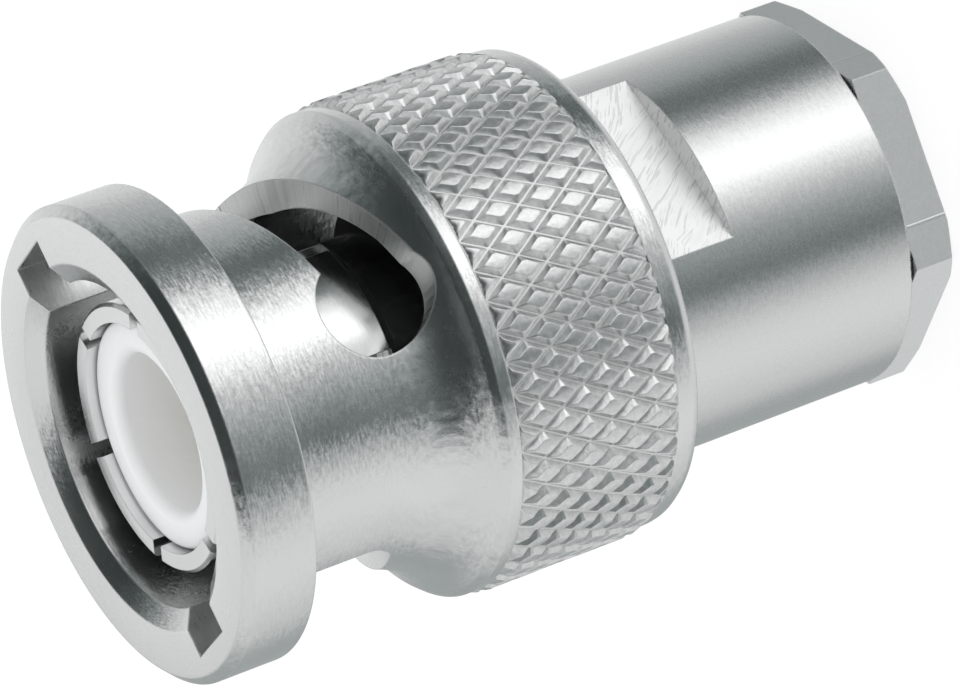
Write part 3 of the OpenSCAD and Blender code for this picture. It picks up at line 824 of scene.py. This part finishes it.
class PLUG_OT_knurl(PlugMaker, bpy.types.Operator):
    """Rolls the diamond knurl around the coupling nut"""

    bl_idname = "plug.knurl"
    bl_label = "Diamond Knurl"

    def diamond(self, knurl):
        """One diamond, at its place on the cylinder at angle 0 and height 0."""
        bm = bmesh.new()
        core = knurl.tip - knurl.height
        half_turn = math.pi / knurl.points
        # from the foot up: width as a share of the cell, radius, and cut of the corners
        levels = (
            (knurl.foot, core - 0.04 * MM, 0.03),
            (knurl.foot, core + 0.01 * MM, 0.03),
            (knurl.top + 0.05, knurl.tip - 0.03 * MM, knurl.corner * 0.8),
            (knurl.top, knurl.tip - 0.006 * MM, knurl.corner),
            (knurl.top - 0.1, knurl.tip, knurl.corner),
        )
        rings = []
        for reach, radius, cut in levels:
            ring = []
            for k in range(8):
                across, along = (cut, 1 - cut) if k % 2 else (1 - cut, cut)
                for _ in range(k // 2):
                    across, along = -along, across
                a = half_turn * reach * across
                z = knurl.pitch * reach * along
                ring.append(bm.verts.new((radius * math.cos(a), radius * math.sin(a), z)))
            rings.append(ring)
        for lower, upper in zip(rings, rings[1:]):
            for k in range(8):
                bm.faces.new((lower[k], lower[(k + 1) % 8], upper[(k + 1) % 8], upper[k]))
        crown = bm.verts.new((knurl.tip, 0, 0))
        for k in range(8):
            bm.faces.new((rings[-1][k], rings[-1][(k + 1) % 8], crown))
        bm.faces.new(reversed(rings[0]))
        return bm

    def pattern(self, material):
        """A node tree that repeats a diamond around the axis and in rows, and trims the end rows."""
        tree = bpy.data.node_groups.new("diamond_rows", "GeometryNodeTree")
        sides = tree.interface
        for name, kind in (
            ("Diamond", "Geometry"),
            ("Points", "Int"),
            ("Rows", "Int"),
            ("Pitch", "Float"),
            ("First Row", "Float"),
            ("Core Radius", "Float"),
            ("End Slope", "Float"),
            ("Unevenness", "Float"),
            ("Seed", "Int"),
        ):
            sides.new_socket(name, in_out="INPUT", socket_type=f"NodeSocket{kind}")
        sides.new_socket("Knurl", in_out="OUTPUT", socket_type="NodeSocketGeometry")
        n = Nodes(tree)
        given = {s.name: Out(n, s) for s in n.add("NodeGroupInput", {}, {}).outputs if s.name}
        index = n.make("GeometryNodeInputIndex", {}, {})
        row = n.maths("FLOOR", index / given["Points"])
        odd = n.maths("MODULO", row, 2.0)
        turn = (index + odd * 0.5 + 0.5) / given["Points"] * math.tau
        spots = n.make(
            "GeometryNodePoints",
            {},
            {
                "Count": given["Points"] * (given["Rows"] + 1.0),
                "Position": n.vector(0.0, 0.0, given["First Row"] - row * given["Pitch"]),
            },
        )
        copies = n.make(
            "GeometryNodeInstanceOnPoints",
            {},
            {"Points": spots, "Instance": given["Diamond"], "Rotation": n.vector(0.0, 0.0, turn)},
        )
        uneven = n.make(
            "FunctionNodeRandomValue",
            {"data_type": "FLOAT"},
            {2: -1.0, 3: 1.0, "ID": index, "Seed": given["Seed"]},
            output=1,
        )
        wide = 1.0 + uneven * given["Unevenness"]
        copies = n.make(
            "GeometryNodeScaleInstances", {}, {"Instances": copies, "Scale": n.vector(wide, wide, 1.0)}
        )
        solid = n.make("GeometryNodeRealizeInstances", {}, {"Geometry": copies})
        # trim the end rows to the knurl's length, and slope their ends down to the core
        x, y, z = n.make("GeometryNodeInputPosition", {}, {}).parts()
        low = given["First Row"] - given["Rows"] * given["Pitch"]
        height = n.maths("MINIMUM", n.maths("MAXIMUM", z, low), given["First Row"])
        inset = n.maths("MINIMUM", height - low, given["First Row"] - height)
        radius = (x**2.0 + y**2.0) ** 0.5
        shrink = n.maths("MINIMUM", radius, given["Core Radius"] + inset * given["End Slope"]) / radius
        solid = n.make(
            "GeometryNodeSetPosition",
            {},
            {"Geometry": solid, "Position": n.vector(x * shrink, y * shrink, height)},
        )
        solid = n.make("GeometryNodeMergeByDistance", {}, {"Geometry": solid, "Distance": 0.002 * MM})
        solid = n.make("GeometryNodeSetMaterial", {}, {"Geometry": solid, "Material": material})
        n.add("NodeGroupOutput", {}, {0: solid})
        return tree

    def build(self, scene):
        knurl, finish = scene.plug_knurl, scene.plug_finish
        rows = finished(self.diamond(knurl), "nut_knurl", math.radians(24))
        material = knurled_plate("knurled_nickel", finish.nickel, finish.turned_roughness + 0.12)
        repeat = rows.modifiers.new("rows", "NODES")
        tree = self.pattern(material)
        given = {
            "Points": knurl.points,
            "Rows": knurl.rows,
            "Pitch": knurl.pitch,
            "First Row": up(knurl.front + 0.03 * MM),
            "Core Radius": knurl.tip - knurl.height + 0.04 * MM,
            "End Slope": knurl.end_slope,
            "Unevenness": knurl.unevenness,
            "Seed": knurl.seed,
        }
        repeat.node_group = tree
        for item in tree.interface.items_tree:
            if item.in_out == "INPUT" and item.name in given:
                repeat[item.identifier] = given[item.name]
        settled(rows)
        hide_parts("coupling_nut")
        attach(rows, "coupling")


class PLUG_OT_metal_pieces(PlugMaker, bpy.types.Operator):
    """Finishes the body, clamp nut, contacts and washers"""

    bl_idname = "plug.metal_pieces"
    bl_label = "Metal Pieces"

    def build(self, scene):
        f, body = scene.plug_finish, scene.plug_body
        smooth = {"streaks": 0.6, "edge": 0.03, "ragged": 0.08}
        washer = turned_plate("washer_nickel", f.nickel, 0.26, edge=0.03)
        spring = turned_plate("spring_bronze", f.bronze, 0.3, edge=0.02)
        dress(
            {
                "body": body_plate("body_nickel", f.nickel, f, body),
                "clamp_nut": hex_plate("clamp_nickel", f.dull_nickel, f.milled_roughness, body),
                "outer_contact": turned_plate("contact_nickel", f.nickel, 0.17, grain=0.5, marks=0.5, **smooth),
                "center_contact": turned_plate("gold_flash", f.gold, 0.2, grain=0.4, **smooth),
                "braid_clamp": turned_plate("turned_brass", f.brass, 0.3, edge=0.04),
                "thrust_washer": washer,
                "slip_washer": washer,
                "retaining_ring": spring,
                "wave_washer_front": spring,
                "wave_washer_rear": spring,
            }
        )


class PLUG_OT_insulators(PlugMaker, bpy.types.Operator):
    """Finishes the insulators and gaskets"""

    bl_idname = "plug.insulators"
    bl_label = "Insulators and Gaskets"

    def build(self, scene):
        f = scene.plug_finish
        white = waxy_white("fluoropolymer", f.insulator)
        dress(
            {
                "front_insulator": white,
                "rear_insulator": white,
                "front_gasket": moulded_rubber("front_rubber", f.gasket),
                "cable_gasket": moulded_rubber("cable_rubber", f.rubber),
            }
        )


class PLUG_OT_stage(PlugMaker, bpy.types.Operator):
    """Sets the floor, studio light and camera"""

    bl_idname = "plug.stage"
    bl_label = "Stage"

    # brightness of the studio around the axis: degrees from +X and level
    RING = (
        (-180, 0.36), (-165, 0.48), (-130, 0.78), (-110, 0.96), (-88, 0.42), (-60, 0.4), (-35, 0.7),
        (-5, 0.83), (14, 0.8), (28, 0.56), (46, 0.1), (60, 0.27), (80, 0.52), (92, 0.9), (106, 1.6),
        (120, 1.4), (133, 0.95), (146, 0.22), (158, 0.09), (168, 0.14),
    )

    def studio(self, world, stage):
        """Light by direction: a white surround behind and below, a strip light and dark flags in front."""
        world.use_nodes = True
        n = Nodes(world.node_tree)
        way = n.make("ShaderNodeTexCoord", {}, {}, output="Generated")
        x, y, z = way.parts()
        turn = n.maths("ARCTAN2", y, x) / math.tau + 0.5
        brightest = 2.0  # level that the ramp's white stands for
        stops = [((degrees + 180) / 360, level / brightest) for degrees, level in self.RING]
        stops.append((1.0, stops[0][1]))
        ring = n.make("ShaderNodeValToRGB", {"ramp": "EASE", "stops": stops}, {"Fac": turn}) * brightest
        behind = way.dot((math.cos(stage.overhead_turn), math.sin(stage.overhead_turn), 0.0))
        top = n.mix(behind.rise(0.1, 0.32), stage.flag, stage.overhead)
        level = n.mix(z.rise(0.2, 0.75), ring, top)
        level = n.mix(z.rise(-0.6, -0.92), level, stage.below)
        path = n.add("ShaderNodeLightPath", {}, {})
        strength = n.mix(Out(n, path.outputs["Is Glossy Ray"]), stage.fill, level)
        strength = n.mix(Out(n, path.outputs["Is Camera Ray"]), strength, 1.0)
        cool = n.tint(strength.rise(0.0, 0.7), (0.83, 1.0, 0.99), (0.985, 0.995, 1.0))
        light = n.make("ShaderNodeBackground", {}, {"Color": cool, "Strength": strength})
        n.add("ShaderNodeOutputWorld", {}, {"Surface": light})
        world.cycles.sampling_method = "NONE"

    def floor_paper(self):
        """White paper that the camera sees as white, with the object's soft shadow on it."""
        material = bpy.data.materials.new("paper")
        material.use_nodes = True
        n = Nodes(material.node_tree)
        path = n.add("ShaderNodeLightPath", {}, {})
        camera_ray, glossy_ray = (Out(n, path.outputs[name]) for name in ("Is Camera Ray", "Is Glossy Ray"))
        paper = n.make("ShaderNodeBsdfDiffuse", {}, {"Color": (0.9, 0.9, 0.9, 1)})
        faint = n.make("ShaderNodeBsdfDiffuse", {}, {"Color": (0.22, 0.22, 0.22, 1)})
        glow = n.make("ShaderNodeEmission", {}, {"Color": (1, 1, 1, 1), "Strength": 0.84})
        shown = n.make("ShaderNodeAddShader", {}, {0: faint, 1: glow})
        seen = n.make("ShaderNodeMixShader", {}, {0: camera_ray, 1: paper, 2: shown})
        clear = n.make("ShaderNodeBsdfTransparent", {}, {})
        under = n.make("ShaderNodeNewGeometry", {}, {}, output="Backfacing")
        passed = n.maths("MAXIMUM", glossy_ray, under)
        cover = n.make("ShaderNodeMixShader", {}, {0: passed, 1: seen, 2: clear})
        n.add("ShaderNodeOutputMaterial", {}, {"Surface": cover})
        return material

    def build(self, scene):
        stage = scene.plug_stage
        scene.world = bpy.data.worlds.new("studio")
        self.studio(scene.world, stage)
        bm = bmesh.new()
        bmesh.ops.create_grid(bm, x_segments=1, y_segments=1, size=stage.floor)
        mesh = bpy.data.meshes.new("floor")
        bm.to_mesh(mesh)
        bm.free()
        mesh.materials.append(self.floor_paper())
        floor = bpy.data.objects.new("floor", mesh)
        scene.collection.objects.link(floor)
        scene.view_settings.view_transform = "Standard"
        camera = bpy.data.objects.new("camera", bpy.data.cameras.new("camera"))
        camera.data.lens, camera.data.sensor_width = stage.lens, 36.0
        camera.data.clip_start, camera.data.clip_end = 0.01, 10.0
        back = Vector(
            (
                math.cos(stage.elevation) * math.cos(stage.azimuth),
                math.cos(stage.elevation) * math.sin(stage.azimuth),
                math.sin(stage.elevation),
            )
        )
        level = Vector((-math.sin(stage.azimuth), math.cos(stage.azimuth), 0))
        right = level * math.cos(stage.roll) + back.cross(level) * math.sin(stage.roll)
        turn = Matrix((right, back.cross(right), back)).transposed().to_4x4()
        camera.matrix_world = Matrix.Translation(Vector(stage.aim) + back * stage.distance) @ turn
        scene.collection.objects.link(camera)
        scene.camera = camera


OPERATORS = (
    PLUG_OT_coupling_nut,
    PLUG_OT_knurl,
    PLUG_OT_metal_pieces,
    PLUG_OT_insulators,
    PLUG_OT_stage,
)


class PLUG_PT_build(bpy.types.Panel):
    """The plug's pieces, sizes and finishes"""

    bl_idname = "PLUG_PT_build"
    bl_label = "Bayonet Plug"
    bl_space_type = "VIEW_3D"
    bl_region_type = "UI"
    bl_category = "Plug"

    def draw(self, context):
        for operator in OPERATORS:
            self.layout.operator(operator.bl_idname)
        for name, group in GROUPS.items():
            box = self.layout.box()
            box.label(text=group.__doc__.split(".")[0])
            for prop in group.__annotations__:
                box.prop(getattr(context.scene, name), prop)


CLASSES = (*GROUPS.values(), *OPERATORS, PLUG_PT_build)


def register():
    for cls in CLASSES:
        bpy.utils.register_class(cls)
    for name, group in GROUPS.items():
        setattr(bpy.types.Scene, name, bpy.props.PointerProperty(type=group))


def unregister():
    for name in GROUPS:
        delattr(bpy.types.Scene, name)
    for cls in reversed(CLASSES):
        bpy.utils.unregister_class(cls)


def main():
    register()
    bpy.ops.plug.stage()
    bpy.ops.plug.coupling_nut()
    bpy.ops.plug.knurl()
    bpy.ops.plug.metal_pieces()
    bpy.ops.plug.insulators()
    bpy.context.view_layer.update()


if __name__ == "__main__":
    main()
